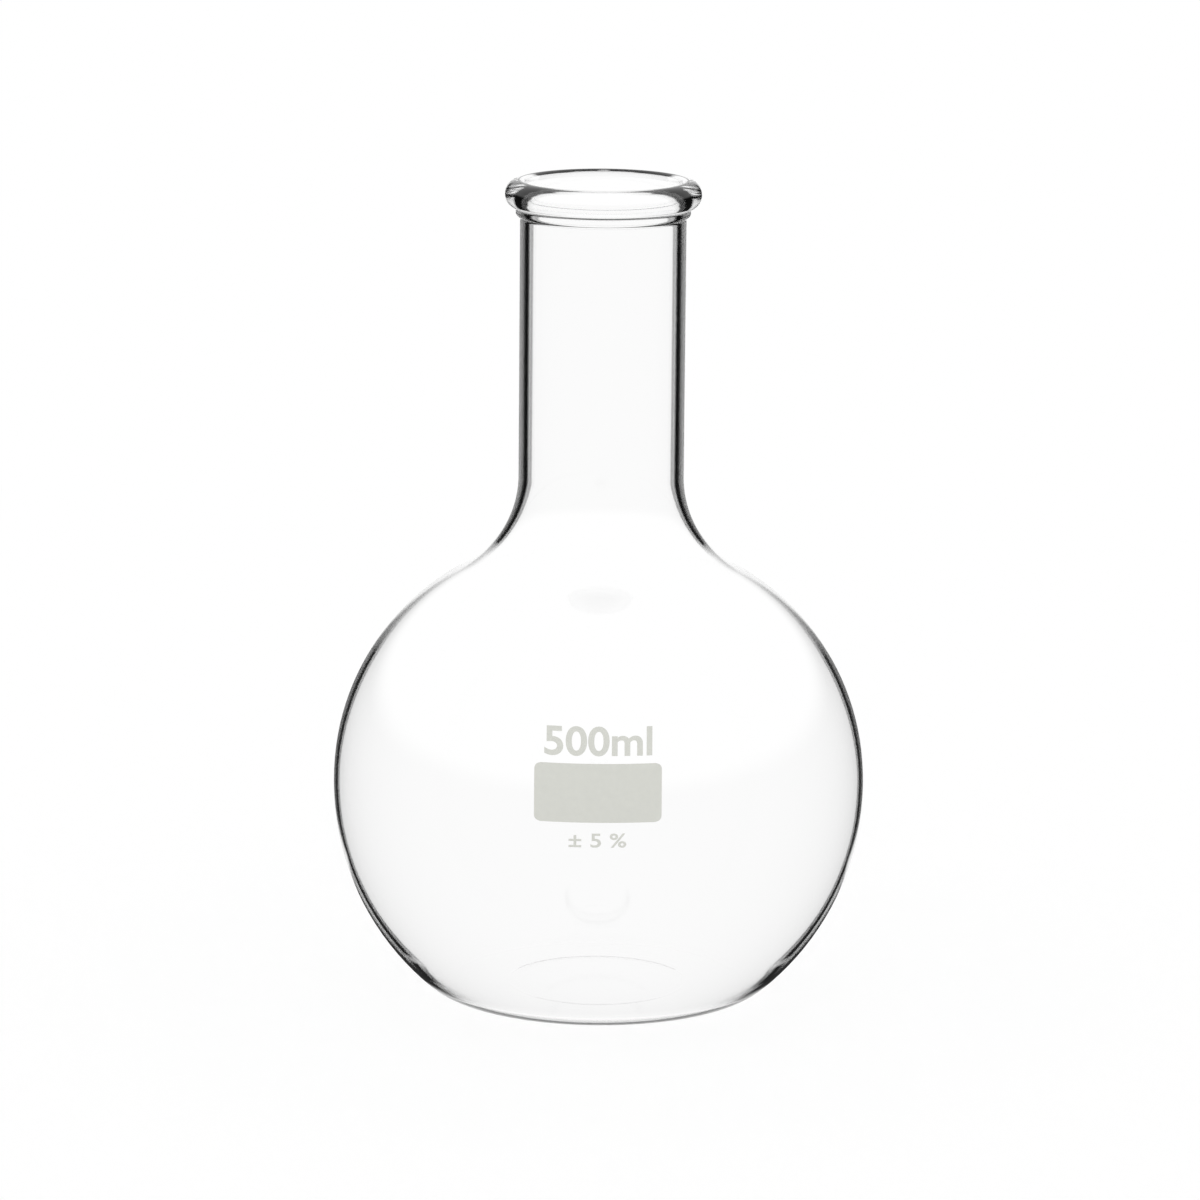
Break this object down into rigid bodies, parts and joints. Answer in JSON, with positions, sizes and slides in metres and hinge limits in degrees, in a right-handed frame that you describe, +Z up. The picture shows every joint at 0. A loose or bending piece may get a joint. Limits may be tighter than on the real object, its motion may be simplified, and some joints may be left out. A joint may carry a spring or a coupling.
{
  "type": "flat bottom flask",
  "caption": "Flat bottom flask of clear glass with a round bulb, a straight neck, a beaded rim and a blank marking panel.",
  "frame": {"origin": "on the flask's axis, at the height of the flat ring it stands on", "axes": "+Z up the axis towards the mouth; -Y is the side with the marking panel"},
  "size_m": [0.105, 0.105, 0.162],
  "materials": {
    "glass": "clear, fire-polished borosilicate glass",
    "enamel": "pale grey enamel, fired on in a thin film"
  },
  "bodies": {
    "root": {"flask": "glass"}
  },
  "joints": []
}
